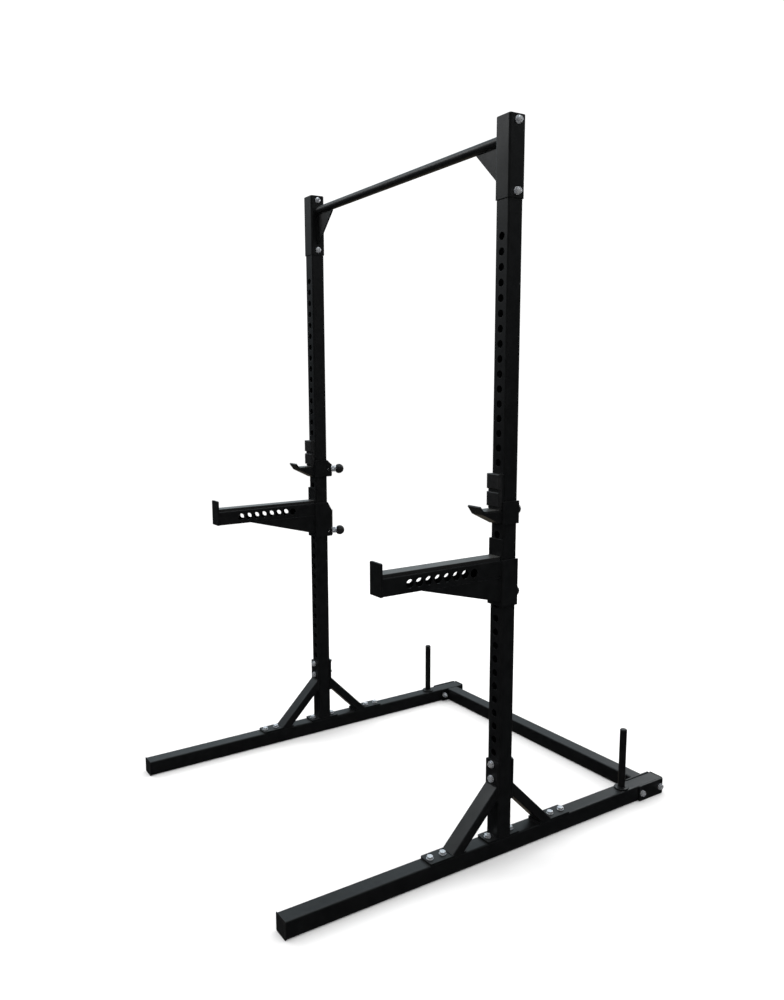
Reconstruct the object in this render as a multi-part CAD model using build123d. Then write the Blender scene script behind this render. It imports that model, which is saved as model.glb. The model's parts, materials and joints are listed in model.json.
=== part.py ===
"""Two-post squat rack with a pull-up bar, two J-cups and two spotter arms.

Frame of the model: X runs across the rack from the left post to the right post,
-Y is the front (where the spotter arms point), +Z is up. Parts are modelled about
the posts' centre plane at Y = 0 and moved by DEPTH_SHIFT as they are written, which
puts the origin on the floor under the middle of the whole rack. Sizes are in
millimetres.
"""
import math
import os

from build123d import *

# ---- driving dimensions ------------------------------------------------------
POST_X = 520.0                # post centre line from the middle of the rack
TUBE = 50.0                   # square tube of legs, posts, arms and crossmember
WALL = 2.5                    # wall of every tube
TUBE_R = 5.0                  # outer corner radius of the square tube

CAP_PROUD = 2.0               # how far an end cap's flange stands proud of its tube
LEG_BOTTOM = CAP_PROUD        # the legs rest on the flanges of their end caps
LEG_TOP = LEG_BOTTOM + TUBE
LEG_FRONT = -722.0            # front end of the leg tube
LEG_REAR = 705.0              # rear end of the leg tube
DEPTH_SHIFT = -(LEG_FRONT + LEG_REAR) / 2
CAP_PLUG = 8.5                # depth of the plastic plugs in the tube ends

PLATE = 6.0                   # thickness of base, head and foot plates
POST_BOTTOM = LEG_TOP + PLATE
POST_TOP = 2056.0
HOLE_R = 10.5                 # adjustment holes in the posts
HOLE_PITCH = 40.0
FRONT_ROW_TOP = 1755.0        # highest hole in the front face
FRONT_ROW_COUNT = 37
REAR_ROW_TOP = 1735.0         # highest hole in the rear face, half a pitch lower
REAR_ROW_COUNT = 36

BASE_HALF_LENGTH = 60.0       # plate welded under each post
BASE_BOLT_Y = 43.0
BRACE_DEPTH = 30.0            # brace tube, seen from the side
BRACE_TOP_SUM = 249.0         # y + z along the upper edge of the 45 degree brace
HEAD_PLATE_Z = (168.0, 292.0)
HEAD_BOLTS_Z = (236.0, 280.0)
FOOT_PLATE_Y = (141.0, 269.0)
FOOT_BOLTS_Y = (209.0, 254.0)

SLEEVE = 55.0                 # square sleeve that carries the pull-up bar
SLEEVE_BORE = 50.5
SLEEVE_BOTTOM = 1849.0
SLEEVE_BOLTS_Z = (1866.0, 2041.0)
BAR_R = 14.0
BAR_Z = 2004.0
BAR_GUSSET_REACH = 104.5      # gusset length along the bar and down the sleeve
BAR_GUSSET_T = 6.0
GUSSET_CLIP = 8.0

CROSS_Y = 645.0               # centre of the rear crossmember
CROSS_PLATE_T = 5.0
CROSS_PLATE_LENGTH = 114.0
CROSS_PLATE_HEIGHT = 52.0
CROSS_BOLT_OFFSET = 44.0

PEG_Y = 533.0
PEG_R = 11.0
PEG_TOP = 255.0
PEG_FLANGE_R = 23.0
PEG_FLANGE_T = 5.0

BOLT_R = 5.0                  # M10 fasteners throughout
BOLT_HOLE_R = 5.5
BOLT_HEAD_T = 6.4
HEX_AF = 17.0
NUT_T = 10.0
BUTTON_R = 9.5                # head of the button bolts through the sleeves
BUTTON_T = 5.5
SOCKET_AF = 6.0
SOCKET_DEPTH = 3.2
WELD_NUT_T = 8.0
NUT_BORE_R = 5.05
WASHER_R = 10.5
WASHER_T = 2.0
SLEEVE_BOLT_LENGTH = 70.0
THROUGH_BOLT_LENGTH = 80.0
LEG_BOLT_LENGTH = 22.0

# Saddles of the J-cups and spotter arms wrap the post with this clearance.
FIT = 0.4
SADDLE_T = 6.0
SADDLE_IN = TUBE / 2 + FIT
SADDLE_OUT = SADDLE_IN + SADDLE_T
SADDLE_REAR = 26.0            # rear edge of the outer side plate
SIGHT_HOLE_R = 6.0            # window that shows the pull pin's nose
SIGHT_HOLE_Y = 28.5

# Pull pin: its axis passes through the rear hole's centre, slanted towards the
# middle of the rack, 3-4-5 in plan. Distances t run along it from the post face.
PIN_DIR = (0.6, 0.8)
LIP_T = (24.0, 30.0)          # the saddle's bent lip that holds the pin
LIP_BACK = 16.0               # the lip's reach beyond the pin's axis
NOSE_R = 5.0
NOSE_TIP = 6.0
COLLAR_T = (36.0, 38.0)
COLLAR_R = 6.5
ROD_R = 3.0
PIN_RUN = 0.05                # running clearance of the plunger in its guides
NECK_T = 12.0
NECK_R = 9.0
GUIDE_END_T = 18.0
CHAMBER_R = 7.0
CHAMBER_END_T = 46.0
BARREL_END_T = 50.0
BARREL_R = 11.5
JAM_NUT_AF = 24.0
KNOB_T = (48.0, 77.0)
KNOB_R = 18.0
KNOB_WIDEST_T = 59.0
KNOB_FACETS = 14
KNOB_BORE_R = 12.2
KNOB_BORE_END_T = 67.0
SPRING_R = 5.0
SPRING_WIRE_R = 0.65
SPRING_PITCH = 1.7

# J-cup, heights above its pull pin.
JCUP_PIN_Z = {"left": REAR_ROW_TOP - 17 * HOLE_PITCH, "right": REAR_ROW_TOP - 18 * HOLE_PITCH}
JCUP_BOTTOM = -28.0
JCUP_SIDE_TOP = 35.0
JCUP_TOP = 111.0
JCUP_LIP_TOP = 14.0
JCUP_BLOCKS = ((21.5, 61.0), (69.5, 111.0))
JCUP_BACKING_BOTTOM = 14.0
JCUP_BACKING_T = 5.5        # wear liner behind the two raised blocks
JCUP_BLOCK_T = 13.0          # liner and block together
TONGUE_FLOOR = (3.0, 8.0)
TONGUE_END = -95.0            # where the tongue's floor bends up into its lip
TONGUE_WEB_T = 5.0
TONGUE_TIP = (-111.0, 25.0)
TONGUE_LINER_T = 5.0

# Spotter arm, heights above its pull pin.
ARM_PIN_Z = {"left": REAR_ROW_TOP - 23 * HOLE_PITCH, "right": REAR_ROW_TOP - 24 * HOLE_PITCH}
ARM_BOTTOM = -20.0
ARM_SIDE_TOP = 112.0
ARM_TOP = 170.0
ARM_LIP_TOP = 77.0
ARM_BEAM_Z = (63.0, 113.0)
ARM_END = -432.0
ARM_LIP_T = 6.0
ARM_LIP_Z = 151.0
ARM_LINER_T = 9.0
ARM_LINER_W = 44.0
ARM_HOLES = 8
ARM_HOLE_R = 12.0
ARM_HOLE_PITCH = 30.5
ARM_HOLE_FIRST = -340.5
ARM_GUSSET_START = -300.0
ARM_GUSSET_T = 6.0

SIDES = {"left": -1, "right": 1}


# ---- helpers -------------------------------------------------------------------
def block(x0, x1, y0, y1, z0, z1):
    """Box between two corners."""
    solid = Box(x1 - x0, y1 - y0, z1 - z0)
    return Pos((x0 + x1) / 2, (y0 + y1) / 2, (z0 + z1) / 2) * solid


def rod(start, direction, radius, length):
    """Cylinder from a point along a direction."""
    plane = Plane(origin=start, z_dir=direction)
    return extrude(plane * Circle(radius), amount=length)


def tube(start, direction, x_dir, width, depth, length, wall=WALL, radius=TUBE_R):
    """Rounded rectangular tube, open at both ends."""
    plane = Plane(origin=start, x_dir=x_dir, z_dir=direction)
    bore = RectangleRounded(width - 2 * wall, depth - 2 * wall, radius - wall + 0.5)
    return extrude(plane * (RectangleRounded(width, depth, radius) - bore), amount=length)


def side_plate(points, x0, x1):
    """Plate whose outline is given as (y, z) points, between two X positions."""
    face = Plane.YZ * Polygon(*points, align=None)
    return Pos(x0, 0, 0) * extrude(face, amount=x1 - x0, dir=(1, 0, 0))


def hexagon(start, direction, across_flats, thickness, bore=None):
    """Hexagonal prism, bored if a radius is given."""
    plane = Plane(origin=start, z_dir=direction)
    face = RegularPolygon(across_flats / 2, 6, major_radius=False)
    if bore:
        face = face - Circle(bore)
    return extrude(plane * face, amount=thickness)


def bolt(seat, direction, length):
    """Hexagon bolt: the seat is under its head, the shank runs along direction."""
    back = tuple(-component for component in direction)
    return hexagon(seat, back, HEX_AF, BOLT_HEAD_T) + rod(seat, direction, BOLT_R, length)


def button_bolt(seat, direction, length):
    """Button-head bolt with a hexagon socket, placed like bolt()."""
    back = tuple(-component for component in direction)
    head = rod(seat, back, BUTTON_R, BUTTON_T)
    top = max(head.edges().filter_by(GeomType.CIRCLE), key=lambda e: e.center().dot(Vector(back)))
    head = fillet(top, BUTTON_T * 0.7)
    socket = hexagon(tuple(Vector(seat) + Vector(back) * (BUTTON_T - SOCKET_DEPTH)), back, SOCKET_AF, BUTTON_T)
    return head + rod(seat, direction, BOLT_R, length) - socket


def nut(start, direction, thickness):
    return hexagon(start, direction, HEX_AF, thickness, NUT_BORE_R)


def washer(start, direction):
    plane = Plane(origin=start, z_dir=direction)
    return extrude(plane * (Circle(WASHER_R) - Circle(BOLT_HOLE_R)), amount=WASHER_T)


def at_post(part, side, height=0.0):
    """Put a part made for the left post, inward being +X, on either post."""
    if side == "right":
        part = mirror(part, about=Plane.YZ)
    return Pos(SIDES[side] * POST_X, 0, height) * part


def save(name, *solids):
    """Write one node as a STEP file."""
    moved = [Pos(0, DEPTH_SHIFT, 0) * solid for solid in solids]
    shape = moved[0] if len(moved) == 1 else Compound(children=moved)
    shape.label = name
    export_step(shape, os.path.join("parts", name + ".step"))


# ---- base ------------------------------------------------------------------------
def leg():
    """Base leg along Y, centred on X = 0, with its bolt holes."""
    centre = LEG_BOTTOM + TUBE / 2
    body = tube((0, LEG_FRONT, centre), (0, 1, 0), (1, 0, 0), TUBE, TUBE, LEG_REAR - LEG_FRONT)
    for y in leg_bolt_places() + [PEG_Y]:
        body -= rod((0, y, LEG_TOP - 2 * WALL), (0, 0, 1), BOLT_HOLE_R, 4 * WALL)
    for y in cross_bolt_places():
        body -= rod((-TUBE, y, centre), (1, 0, 0), BOLT_HOLE_R, 2 * TUBE)
    return body


def leg_bolt_places():
    """Y of every bolt that goes down into a leg."""
    feet = [sign * y for sign in (-1, 1) for y in FOOT_BOLTS_Y]
    return feet + [-BASE_BOLT_Y, BASE_BOLT_Y]


def cross_bolt_places():
    return [CROSS_Y - CROSS_BOLT_OFFSET, CROSS_Y + CROSS_BOLT_OFFSET]


def end_cap(width, plug, depth, thickness):
    """Plastic cap: a softened flange on z = 0 .. thickness and a hollow plug below it."""
    flange = extrude(RectangleRounded(width, width, TUBE_R + 1), amount=thickness)
    flange = fillet(flange.faces().sort_by(Axis.Z)[-1].edges(), thickness * 0.6)
    ring = RectangleRounded(plug, plug, 2.5) - RectangleRounded(plug - 5, plug - 5, 1.5)
    return flange + extrude(ring, amount=-depth)


def leg_caps():
    caps = []
    centre = LEG_BOTTOM + TUBE / 2
    for sign in SIDES.values():
        for y, forward in ((LEG_FRONT, -1), (LEG_REAR, 1)):
            cap = end_cap(TUBE + 2 * CAP_PROUD, TUBE - 2 * WALL - 0.4, CAP_PLUG, CAP_PROUD)
            plane = Plane(origin=(sign * POST_X, y, centre), x_dir=(1, 0, 0), z_dir=(0, forward, 0))
            caps.append(plane.location * cap)
    return caps


def base_plate():
    plate = block(-TUBE / 2, TUBE / 2, -BASE_HALF_LENGTH, BASE_HALF_LENGTH, LEG_TOP, POST_BOTTOM)
    plate = fillet(plate.edges().filter_by(Axis.Z), 4.0)
    for y in (-BASE_BOLT_Y, BASE_BOLT_Y):
        plate -= rod((0, y, LEG_TOP - 1), (0, 0, 1), BOLT_HOLE_R, PLATE + 2)
    return plate


def rear_brace():
    """45 degree brace tube behind the post, cut to its head and foot plates."""
    half = BRACE_DEPTH / 2 * 2 ** 0.5
    centre_sum = BRACE_TOP_SUM - half
    start = (0, -40.0, centre_sum + 40.0)
    body = tube(start, (0, 1, -1), (1, 0, 0), TUBE, BRACE_DEPTH, 360.0, radius=4.0)
    head = TUBE / 2 + PLATE
    return body & block(-TUBE, TUBE, head, 400.0, POST_BOTTOM, 400.0)


def rear_head_plate():
    low, high = HEAD_PLATE_Z
    plate = block(-TUBE / 2, TUBE / 2, TUBE / 2, TUBE / 2 + PLATE, low, high)
    plate = fillet(plate.edges().filter_by(Axis.Y), 4.0)
    for z in HEAD_BOLTS_Z:
        plate -= rod((0, 0, z), (0, 1, 0), BOLT_HOLE_R, TUBE)
    return plate


def rear_foot_plate():
    near, far = FOOT_PLATE_Y
    plate = block(-TUBE / 2, TUBE / 2, near, far, LEG_TOP, POST_BOTTOM)
    plate = fillet(plate.edges().filter_by(Axis.Z), 4.0)
    for y in FOOT_BOLTS_Y:
        plate -= rod((0, y, LEG_TOP - 1), (0, 0, 1), BOLT_HOLE_R, PLATE + 2)
    return plate


def band_peg():
    """Upright peg with its flange and the stud that holds it in the leg."""
    flange = rod((0, PEG_Y, LEG_TOP), (0, 0, 1), PEG_FLANGE_R, PEG_FLANGE_T)
    flange = chamfer(flange.edges().sort_by(Axis.Z)[-1], 1.0)
    post = rod((0, PEG_Y, LEG_TOP), (0, 0, 1), PEG_R, PEG_TOP - LEG_TOP)
    post = chamfer(post.edges().sort_by(Axis.Z)[-1], 2.5)
    stud = rod((0, PEG_Y, LEG_TOP - 16.0), (0, 0, 1), BOLT_R, 18.0)
    return flange + post + stud


def crossmember():
    half = POST_X - TUBE / 2 - CROSS_PLATE_T
    centre = LEG_BOTTOM + TUBE / 2
    return tube((-half, CROSS_Y, centre), (1, 0, 0), (0, 1, 0), TUBE, TUBE, 2 * half)


def cross_plates():
    """Plates on the inner and outer face of each leg."""
    plates = []
    centre = LEG_BOTTOM + TUBE / 2
    for sign in SIDES.values():
        for face in (POST_X - TUBE / 2 - CROSS_PLATE_T, POST_X + TUBE / 2):
            x0, x1 = sorted((sign * face, sign * (face + CROSS_PLATE_T)))
            plate = block(x0, x1, CROSS_Y - CROSS_PLATE_LENGTH / 2, CROSS_Y + CROSS_PLATE_LENGTH / 2,
                          centre - CROSS_PLATE_HEIGHT / 2, centre + CROSS_PLATE_HEIGHT / 2)
            plate = fillet(plate.edges().filter_by(Axis.X), 4.0)
            for y in cross_bolt_places():
                plate -= rod((x0 - 1, y, centre), (1, 0, 0), BOLT_HOLE_R, CROSS_PLATE_T + 2)
            plates.append(plate)
    return plates


# ---- posts and pull-up bar ---------------------------------------------------------
def post():
    """Upright with its two rows of adjustment holes and its bolt holes."""
    body = tube((0, 0, POST_BOTTOM), (0, 0, 1), (1, 0, 0), TUBE, TUBE, POST_TOP - POST_BOTTOM)
    rows = ((-TUBE, FRONT_ROW_TOP, FRONT_ROW_COUNT), (0.0, REAR_ROW_TOP, REAR_ROW_COUNT))
    for y, top, count in rows:
        holes = [rod((0, y, top - i * HOLE_PITCH), (0, 1, 0), HOLE_R, TUBE) for i in range(count)]
        body -= holes
    for z in HEAD_BOLTS_Z:
        body -= rod((0, -TUBE, z), (0, 1, 0), BOLT_HOLE_R, 2 * TUBE)
    for z in SLEEVE_BOLTS_Z:
        body -= rod((-TUBE, 0, z), (1, 0, 0), BOLT_HOLE_R, 2 * TUBE)
    return body


def sleeve():
    wall = (SLEEVE - SLEEVE_BORE) / 2
    body = tube((0, 0, SLEEVE_BOTTOM), (0, 0, 1), (1, 0, 0), SLEEVE, SLEEVE,
                POST_TOP - SLEEVE_BOTTOM, wall=wall, radius=6.0)
    for z in SLEEVE_BOLTS_Z:
        body -= rod((-TUBE, 0, z), (1, 0, 0), BOLT_HOLE_R, 2 * TUBE)
    return body


def pull_up_bar():
    half = POST_X - SLEEVE / 2
    plane = Plane(origin=(-half, 0, BAR_Z), z_dir=(1, 0, 0))
    return extrude(plane * (Circle(BAR_R) - Circle(BAR_R - WALL)), amount=2 * half)


def bar_gussets():
    """Triangular plates under the bar, one at each sleeve."""
    gussets = []
    for sign in SIDES.values():
        face = POST_X - SLEEVE / 2
        top = BAR_Z - BAR_R + 2
        low = top - BAR_GUSSET_REACH
        points = [(sign * (face - GUSSET_CLIP), top), (sign * face, top - GUSSET_CLIP),
                  (sign * face, low), (sign * (face - 5.0), low),
                  (sign * (face - BAR_GUSSET_REACH), top - 5.0), (sign * (face - BAR_GUSSET_REACH), top)]
        outline = Plane.XZ * Polygon(*points, align=None)
        plate = extrude(outline, amount=BAR_GUSSET_T / 2, both=True)
        bar = rod((-POST_X, 0, BAR_Z), (1, 0, 0), BAR_R, 2 * POST_X)
        gussets.append(plate - bar)
    return gussets


def top_caps():
    caps = []
    for sign in SIDES.values():
        cap = end_cap(SLEEVE - 1.0, TUBE - 2 * WALL - 0.4, 7.0, 2.5)
        caps.append(Pos(sign * POST_X, 0, POST_TOP) * cap)
    return caps


# ---- fasteners -----------------------------------------------------------------------
def fastener_groups():
    """Every M10 fastener of the frame, grouped by kind."""
    sleeve_bolts, through_bolts, leg_bolts = [], [], []
    nuts, weld_nuts, washers = [], [], []
    centre = LEG_BOTTOM + TUBE / 2
    for sign in SIDES.values():
        x = sign * POST_X
        inward = (-sign, 0, 0)
        outward = (sign, 0, 0)
        for z in SLEEVE_BOLTS_Z:
            outer = x + sign * SLEEVE / 2
            inner = x - sign * SLEEVE / 2
            washers.append(washer((outer, 0, z), outward))
            washers.append(washer((inner, 0, z), inward))
            seat = (inner - sign * WASHER_T, 0, z)
            sleeve_bolts.append(button_bolt(seat, outward, SLEEVE_BOLT_LENGTH))
            nuts.append(nut((outer + sign * WASHER_T, 0, z), outward, NUT_T))
        for z in HEAD_BOLTS_Z:
            face = TUBE / 2 + PLATE
            washers.append(washer((x, -face, z), (0, -1, 0)))
            washers.append(washer((x, face, z), (0, 1, 0)))
            through_bolts.append(bolt((x, -face - WASHER_T, z), (0, 1, 0), THROUGH_BOLT_LENGTH))
            nuts.append(nut((x, face + WASHER_T, z), (0, 1, 0), NUT_T))
        for y in cross_bolt_places():
            outer = x + sign * (TUBE / 2 + CROSS_PLATE_T)
            inner = x - sign * (TUBE / 2 + CROSS_PLATE_T)
            washers.append(washer((outer, y, centre), outward))
            washers.append(washer((inner, y, centre), inward))
            seat = (outer + sign * WASHER_T, y, centre)
            through_bolts.append(bolt(seat, inward, THROUGH_BOLT_LENGTH))
            nuts.append(nut((inner - sign * WASHER_T, y, centre), inward, NUT_T))
        for y in leg_bolt_places():
            washers.append(washer((x, y, POST_BOTTOM), (0, 0, 1)))
            leg_bolts.append(bolt((x, y, POST_BOTTOM + WASHER_T), (0, 0, -1), LEG_BOLT_LENGTH))
        for y in leg_bolt_places() + [PEG_Y]:
            weld_nuts.append(nut((x, y, LEG_TOP - WALL), (0, 0, -1), WELD_NUT_T))
    return {"sleeve_bolts": sleeve_bolts, "through_bolts": through_bolts, "leg_bolts": leg_bolts,
            "lock_nuts": nuts, "weld_nuts": weld_nuts, "washers": washers}


# ---- saddles ---------------------------------------------------------------------------
def pin_point(t, across=0.0):
    """Point in plan at distance t along the pull pin, and across it."""
    x = PIN_DIR[0] * t + PIN_DIR[1] * across
    y = TUBE / 2 + PIN_DIR[1] * t - PIN_DIR[0] * across
    return x, y


def lip_corner(t, x):
    """Where the lip's face at distance t meets the plane at x."""
    across = (x - PIN_DIR[0] * t) / PIN_DIR[1]
    return pin_point(t, across)


def saddle_plan():
    """Bent plate seen from above: outer side, front, inner side and slanted lip."""
    inner_t, outer_t = LIP_T
    points = [(-SADDLE_OUT, SADDLE_REAR), (-SADDLE_OUT, -SADDLE_OUT), (SADDLE_OUT, -SADDLE_OUT),
              lip_corner(outer_t, SADDLE_OUT), pin_point(outer_t, -LIP_BACK),
              pin_point(inner_t, -LIP_BACK), lip_corner(inner_t, SADDLE_IN),
              (SADDLE_IN, -SADDLE_IN), (-SADDLE_IN, -SADDLE_IN), (-SADDLE_IN, SADDLE_REAR)]
    return Polygon(*points, align=None)


def pin_plane(t):
    x, y = pin_point(t)
    return Plane(origin=(x, y, 0), x_dir=(0, 0, 1), z_dir=(PIN_DIR[0], PIN_DIR[1], 0))


def saddle(bottom, side_top, plate_top, lip_top):
    """Saddle of a J-cup or arm, around the left post, with its pin at z = 0."""
    body = Pos(0, 0, bottom) * extrude(saddle_plan(), amount=side_top - bottom, dir=(0, 0, 1))
    bends = body.edges().filter_by(Axis.Z)
    outer_bends = [e for e in bends if abs(e.center().Y + SADDLE_OUT) < 0.01]
    body = fillet(outer_bends, SADDLE_T * 0.75)
    front = block(-TUBE / 2, TUBE / 2, -SADDLE_OUT, -SADDLE_IN, side_top - SADDLE_T, plate_top)
    body += fillet(front.edges().filter_by(Axis.Y), 3.0)
    bend_y = lip_corner(LIP_T[1], SADDLE_OUT)[1]
    lip_end = pin_point(LIP_T[1], -LIP_BACK)[1] + 1
    waste = [(TUBE / 2 - 2, side_top + 1), (TUBE / 2 - 2, side_top), (bend_y, lip_top + 6),
             (lip_end, lip_top), (lip_end, side_top + 1)]
    body -= side_plate(waste, 0.0, SADDLE_OUT + 1)
    body -= extrude(pin_plane(LIP_T[0] - 2) * Circle(NECK_R + 0.1), amount=LIP_T[1] - LIP_T[0] + 4)
    return body - rod((SADDLE_IN - 2, SIGHT_HOLE_Y, 0), (1, 0, 0), SIGHT_HOLE_R, SADDLE_T + 4)


# ---- pull pin -----------------------------------------------------------------------------
def turned(profile):
    """Revolve (radius, t) points about the pull pin's axis."""
    plane = Plane(origin=(0, TUBE / 2, 0), x_dir=(0, 0, 1), z_dir=(-PIN_DIR[1], PIN_DIR[0], 0))
    face = plane * Polygon(*profile, align=None)
    axis = Axis((0, TUBE / 2, 0), (PIN_DIR[0], PIN_DIR[1], 0))
    return revolve(face, axis=axis)


def pin_barrel():
    """Zinc housing: threaded neck through the lip, jam nut behind it, spring chamber."""
    guide = NOSE_R + PIN_RUN
    shell = turned([(guide, NECK_T), (NECK_R - 1, NECK_T), (NECK_R, NECK_T + 1), (NECK_R, LIP_T[1]),
                    (BARREL_R, LIP_T[1]), (BARREL_R, BARREL_END_T - 1), (BARREL_R - 1, BARREL_END_T),
                    (ROD_R + PIN_RUN, BARREL_END_T), (ROD_R + PIN_RUN, CHAMBER_END_T),
                    (CHAMBER_R, CHAMBER_END_T), (CHAMBER_R, GUIDE_END_T), (guide, GUIDE_END_T)])
    hexagonal = RegularPolygon(JAM_NUT_AF / 2, 6, major_radius=False) - Circle(CHAMBER_R + 0.5)
    jam = extrude(pin_plane(GUIDE_END_T) * hexagonal, amount=LIP_T[0] - GUIDE_END_T)
    return shell + jam


def pin_plunger():
    low, high = COLLAR_T
    return turned([(0, NOSE_TIP), (NOSE_R - 1.5, NOSE_TIP), (NOSE_R, NOSE_TIP + 1.5), (NOSE_R, low),
                   (COLLAR_R, low), (COLLAR_R, high), (ROD_R, high), (ROD_R, KNOB_T[1] - 5),
                   (0, KNOB_T[1] - 5)])


def pin_knob():
    """Ball-like plastic knob whose skirt covers the end of the barrel."""
    low, high = KNOB_T
    rise = high - KNOB_WIDEST_T
    start = math.asin((low - KNOB_WIDEST_T) / rise)
    outline = [(KNOB_BORE_R, low)]
    for step in range(KNOB_FACETS):
        angle = start + (math.pi / 2 - start) * step / KNOB_FACETS
        outline.append((KNOB_R * math.cos(angle), KNOB_WIDEST_T + rise * math.sin(angle)))
    outline += [(0, high), (0, high - 5), (ROD_R, high - 5), (ROD_R, KNOB_BORE_END_T),
                (KNOB_BORE_R, KNOB_BORE_END_T)]
    return turned(outline)


def pin_spring():
    """Compression spring between the plunger's collar and the barrel's end."""
    start = COLLAR_T[1] + SPRING_WIRE_R + 0.15
    height = CHAMBER_END_T - SPRING_WIRE_R - 0.15 - start
    path = Helix(pitch=SPRING_PITCH, height=height, radius=SPRING_R)
    wire = Plane(origin=path @ 0, z_dir=path % 0) * Circle(SPRING_WIRE_R)
    coil = sweep(wire, path=path, is_frenet=True)
    return pin_plane(start).location * coil


# ---- J-cup ---------------------------------------------------------------------------------
def jcup_tongue():
    """Folded tongue: floor, slanted front lip, two side webs and a sloping bottom plate."""
    low, high = TONGUE_FLOOR
    half = TUBE / 2
    tip_y, tip_z = TONGUE_TIP
    length = ((tip_y - TONGUE_END) ** 2 + (tip_z - low) ** 2) ** 0.5
    along = ((tip_y - TONGUE_END) / length, (tip_z - low) / length)
    inward = (along[1] * (high - low), -along[0] * (high - low))
    floor = [(-SADDLE_OUT, low), (-SADDLE_OUT, high), (TONGUE_END + inward[0], high),
             (tip_y + inward[0], tip_z + inward[1]), (tip_y, tip_z), (TONGUE_END, low)]
    web = [(-SADDLE_OUT, low), (TONGUE_END, low), (-SADDLE_OUT, JCUP_BOTTOM)]
    body = side_plate(floor, -half, half)
    bottom = [(TONGUE_END, low), (TONGUE_END + 3 * TONGUE_WEB_T, low),
              (-SADDLE_OUT, JCUP_BOTTOM + TONGUE_WEB_T + 1), (-SADDLE_OUT, JCUP_BOTTOM)]
    body += side_plate(bottom, -half, half)
    for x in (-half, half - TONGUE_WEB_T):
        body += side_plate(web, x, x + TONGUE_WEB_T)
    return body


def jcup_liner():
    """Wear liner on the saddle's face, with two raised blocks."""
    half = TUBE / 2
    front = -SADDLE_OUT - JCUP_BLOCK_T
    liner = block(-half, half, -SADDLE_OUT - JCUP_BACKING_T, -SADDLE_OUT, JCUP_BACKING_BOTTOM, JCUP_TOP)
    for low, high in JCUP_BLOCKS:
        raised = block(-half, half, front, -SADDLE_OUT, low, high)
        liner += chamfer(raised.faces().sort_by(Axis.Y)[0].edges(), 2.0)
    return liner


def jcup_pad():
    """Pad on the tongue's floor, where the bar rests."""
    half = TUBE / 2 - 1
    floor = TONGUE_FLOOR[1]
    top = floor + TONGUE_LINER_T
    outline = [(-SADDLE_OUT, floor), (-SADDLE_OUT, top), (TONGUE_END + 6, top), (TONGUE_END + 6, floor)]
    return side_plate(outline, -half, half)


# ---- spotter arm -----------------------------------------------------------------------------
def arm_beam():
    low, high = ARM_BEAM_Z
    centre = (low + high) / 2
    start = ARM_END + ARM_LIP_T
    body = tube((0, start, centre), (0, 1, 0), (1, 0, 0), TUBE, TUBE, -SADDLE_OUT - start)
    for i in range(ARM_HOLES):
        y = ARM_HOLE_FIRST + i * ARM_HOLE_PITCH
        body -= rod((-TUBE, y, centre), (1, 0, 0), ARM_HOLE_R, 2 * TUBE)
    return body


def arm_lip():
    plate = block(-TUBE / 2, TUBE / 2, ARM_END, ARM_END + ARM_LIP_T, ARM_BEAM_Z[0], ARM_LIP_Z)
    return fillet(plate.edges().filter_by(Axis.Y).sort_by(Axis.Z)[-2:], 4.0)


def arm_gussets():
    """Two tapering plates under the beam, in line with the saddle's lower corner."""
    top = ARM_BEAM_Z[0]
    slope = (top - ARM_BOTTOM) / (SADDLE_REAR - ARM_GUSSET_START)
    low = top + slope * (SADDLE_OUT + ARM_GUSSET_START)
    outline = [(ARM_GUSSET_START, top), (-SADDLE_OUT, top), (-SADDLE_OUT, low)]
    half = TUBE / 2
    return [side_plate(outline, x, x + ARM_GUSSET_T) for x in (-half, half - ARM_GUSSET_T)]


def arm_liner():
    half = ARM_LINER_W / 2
    top = ARM_BEAM_Z[1]
    strip = block(-half, half, ARM_END + ARM_LIP_T, -SADDLE_OUT, top, top + ARM_LINER_T)
    return fillet(strip.edges().filter_by(Axis.Y).sort_by(Axis.Z)[-2:], 2.0)


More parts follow.
